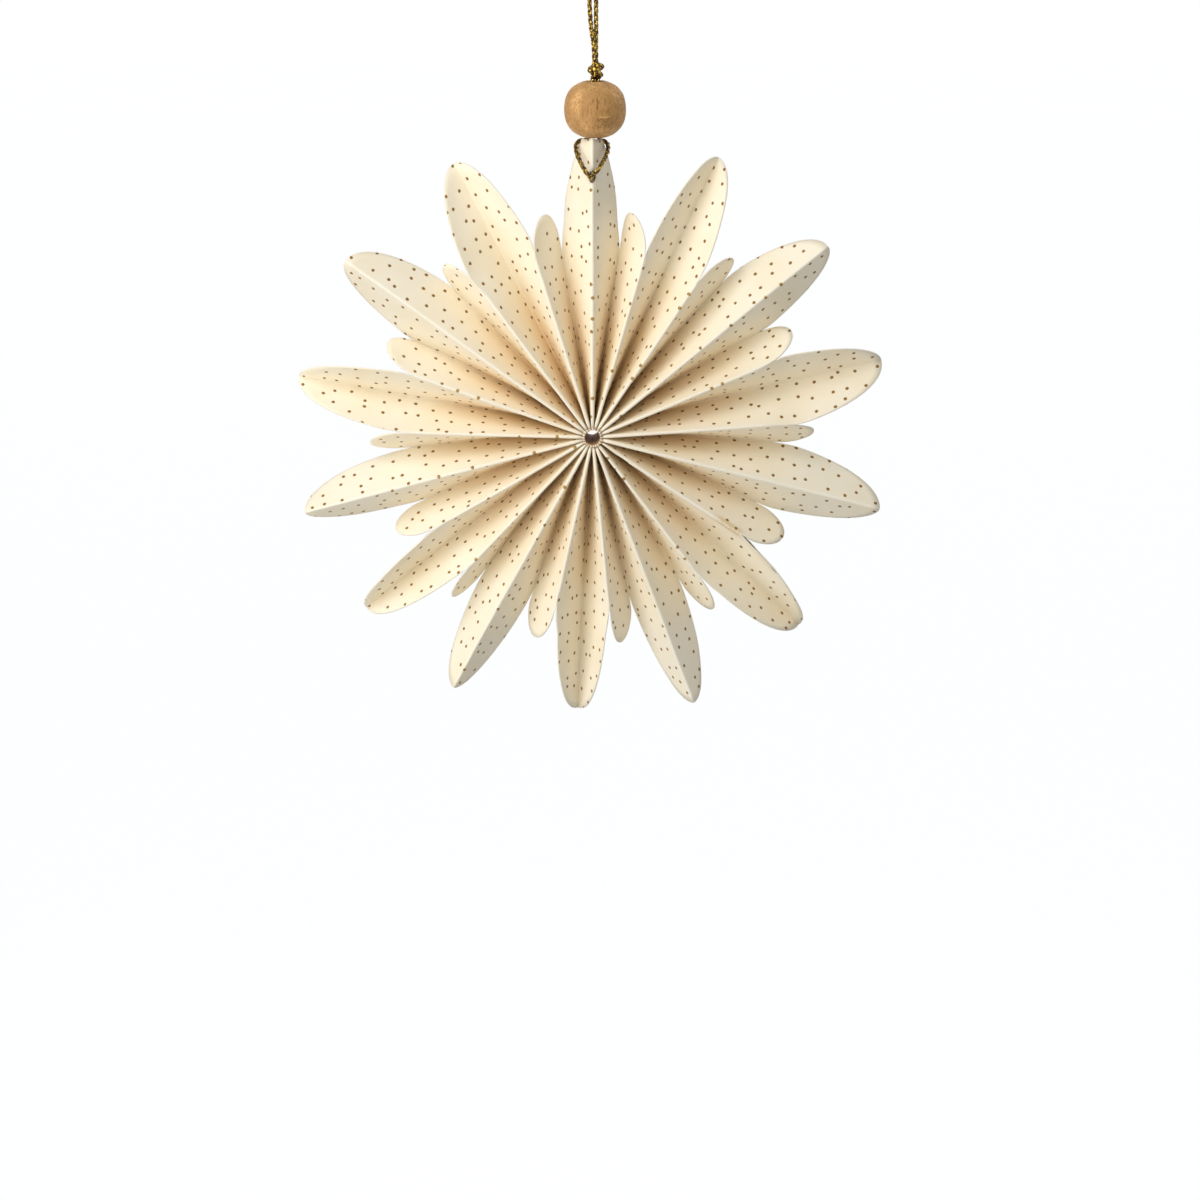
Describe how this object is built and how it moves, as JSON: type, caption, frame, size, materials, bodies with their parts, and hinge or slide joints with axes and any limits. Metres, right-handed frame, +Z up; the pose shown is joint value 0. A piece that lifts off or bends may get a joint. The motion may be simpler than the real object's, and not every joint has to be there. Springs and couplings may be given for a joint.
{
  "type": "paper star ornament",
  "caption": "Hanging flower-shaped star of one pleated, petal-cut paper strip, with a wooden bead and a metallic cord loop.",
  "frame": {"origin": "inside top of the cord's hanging loop, where a hook or twig carries the ornament", "axes": "+Z up along the hanging cord, -Y out of the star's front, X across the star"},
  "size_m": [0.1182, 0.0123, 0.1565],
  "materials": {
    "dotted_paper": "matte ivory paper with small printed gold dots",
    "hot_glue": "cloudy hardened hot glue",
    "bead_wood": "plain turned wood, unvarnished",
    "gold_cord": "twisted metallic gold yarn"
  },
  "bodies": {
    "root": {"star_paper": "dotted_paper", "hub_glue": "hot_glue", "wood_bead": "bead_wood", "top_knot": "gold_cord", "back_knot": "gold_cord", "cord_lower_left": "gold_cord", "cord_lower_right": "gold_cord", "cord_hanging_loop": "gold_cord"}
  },
  "joints": []
}
